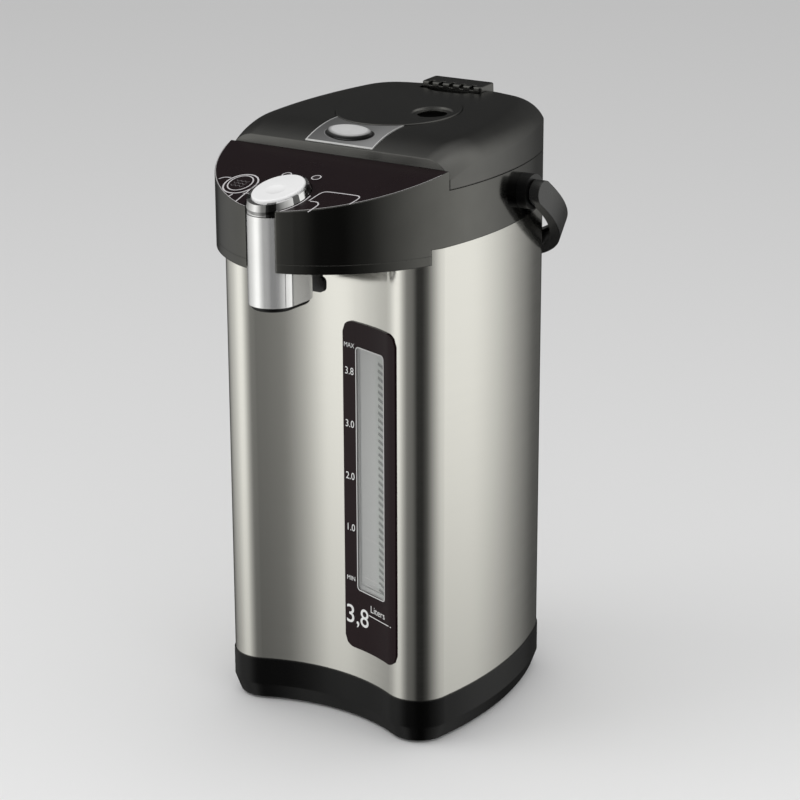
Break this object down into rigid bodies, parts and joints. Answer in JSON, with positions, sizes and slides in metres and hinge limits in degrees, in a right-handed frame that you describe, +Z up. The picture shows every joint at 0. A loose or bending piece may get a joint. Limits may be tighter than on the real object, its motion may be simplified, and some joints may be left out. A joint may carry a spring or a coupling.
{
  "type": "electric thermo pot",
  "caption": "Upright steel-clad electric hot-water pot with a pouring nose and spout column, press cap, hinged lid with steam vent, level window and swinging carrying handle.",
  "frame": {"origin": "centre of the bounding box's bottom face, on the surface that the pot stands on", "axes": "+Z up, -Y towards the nose and the spout, +X towards the side of the level window"},
  "size_m": [0.1874, 0.2456, 0.3752],
  "materials": {
    "base_shell": "gloss black moulded base",
    "bottom_cover": "matt black cover",
    "rubber_feet": "black rubber",
    "cover_screws": "zinc-plated steel",
    "power_inlet": "black heat-resistant plastic",
    "inlet_contacts": "nickel-plated brass",
    "outer_sleeve": "satin stainless steel",
    "window_plate": "dark burgundy gloss plate",
    "window_glass": "clear plastic window",
    "inner_pot": "drawn stainless steel",
    "pot_neck": "spun stainless steel",
    "flange_gasket": "silicone ring",
    "band_heater": "clamped band heater",
    "thermostat": "thermostat body",
    "pump_motor": "plated motor can",
    "pump_housing": "ivory pump housing",
    "pump_impeller": "ivory impeller",
    "suction_hose": "silicone hose",
    "lower_elbow": "silicone hose",
    "level_tube": "clear level tube",
    "delivery_tube": "silicone hose",
    "collar": "dark grey moulded collar",
    "mouth_ring": "dark grey deck with the mouth",
    "nose_cover": "dark grey cover",
    "control_panel": "dark burgundy panel film",
    "indicator_lamps": "clear light guides",
    "control_board": "green circuit board",
    "lever_switch": "black switch",
    "cup_lever": "black lever",
    "lever_pin": "steel pin",
    "column_front": "chrome-plated shell",
    "column_rear": "chrome-plated shell",
    "nozzle": "black nozzle",
    "cap_ring": "chrome-plated ring",
    "pour_cap": "bright chrome cap",
    "cap_spring": "steel spring",
    "cap_switch": "black switch",
    "lid_shell": "satin dark grey lid",
    "lid_inner_cover": "steel inner cover",
    "lid_gasket": "silicone seal",
    "steam_cap": "satin dark grey cap",
    "steam_insert": "black vent insert",
    "lid_latch": "satin silver plate",
    "latch_pins": "steel pins",
    "lid_release": "satin dark grey lever",
    "hinge_pin": "steel pin",
    "carry_handle": "dark grey handle",
    "handle_bosses": "black pivot bosses",
    "handle_pins": "dark steel pins"
  },
  "bodies": {
    "pot": {"base_shell": "base_shell", "bottom_cover": "bottom_cover", "rubber_feet": "rubber_feet", "cover_screws": "cover_screws", "power_inlet": "power_inlet", "inlet_contacts": "inlet_contacts", "outer_sleeve": "outer_sleeve", "window_plate": "window_plate", "window_glass": "window_glass", "inner_pot": "inner_pot", "pot_neck": "pot_neck", "flange_gasket": "flange_gasket", "band_heater": "band_heater", "thermostat": "thermostat", "pump_motor": "pump_motor", "pump_housing": "pump_housing", "suction_hose": "suction_hose", "lower_elbow": "lower_elbow", "level_tube": "level_tube", "delivery_tube": "delivery_tube", "collar": "collar", "mouth_ring": "mouth_ring", "nose_cover": "nose_cover", "control_panel": "control_panel", "indicator_lamps": "indicator_lamps", "control_board": "control_board", "lever_switch": "lever_switch", "lever_pin": "lever_pin", "column_front": "column_front", "column_rear": "column_rear", "nozzle": "nozzle", "cap_ring": "cap_ring", "cap_spring": "cap_spring", "cap_switch": "cap_switch", "handle_bosses": "handle_bosses", "handle_pins": "handle_pins"},
    "lid": {"lid_shell": "lid_shell", "lid_inner_cover": "lid_inner_cover", "lid_gasket": "lid_gasket", "steam_cap": "steam_cap", "steam_insert": "steam_insert", "latch_pins": "latch_pins", "hinge_pin": "hinge_pin"},
    "latch": {"lid_latch": "lid_latch"},
    "release": {"lid_release": "lid_release"},
    "cap": {"pour_cap": "pour_cap"},
    "lever": {"cup_lever": "cup_lever"},
    "handle": {"carry_handle": "carry_handle"},
    "impeller": {"pump_impeller": "pump_impeller"}
  },
  "joints": [
    {"name": "lid_hinge", "type": "hinge", "parent": "pot", "child": "lid", "pos_m": [0, 0.1, 0.3447], "axis": [-1, 0, 0], "range_deg": [0, 80]},
    {"name": "latch_press", "type": "hinge", "parent": "lid", "child": "latch", "pos_m": [0, -0.016, 0.362], "axis": [1, 0, 0], "range_deg": [0, 6], "stiffness_Nm_per_rad": 0.3},
    {"name": "release_slide", "type": "slide", "parent": "lid", "child": "release", "axis": [0, -0.9984, -0.0558], "range_m": [0, 0.003], "stiffness_N_per_m": 300},
    {"name": "cap_press", "type": "slide", "parent": "pot", "child": "cap", "axis": [0, 0, -1], "range_m": [0, 0.0028], "stiffness_N_per_m": 600, "deforming": ["cap_spring"]},
    {"name": "cup_lever_swing", "type": "hinge", "parent": "pot", "child": "lever", "pos_m": [0, -0.069, 0.311], "axis": [1, 0, 0], "range_deg": [0, 8], "stiffness_Nm_per_rad": 0.02},
    {"name": "handle_swing", "type": "hinge", "parent": "pot", "child": "handle", "pos_m": [0, 0.035, 0.326], "axis": [1, 0, 0], "range_deg": [0, 126]},
    {"name": "impeller_spin", "type": "hinge", "parent": "pot", "child": "impeller", "pos_m": [0.027, -0.014, 0.04], "axis": [0, 0, 1], "continuous": true}
  ]
}
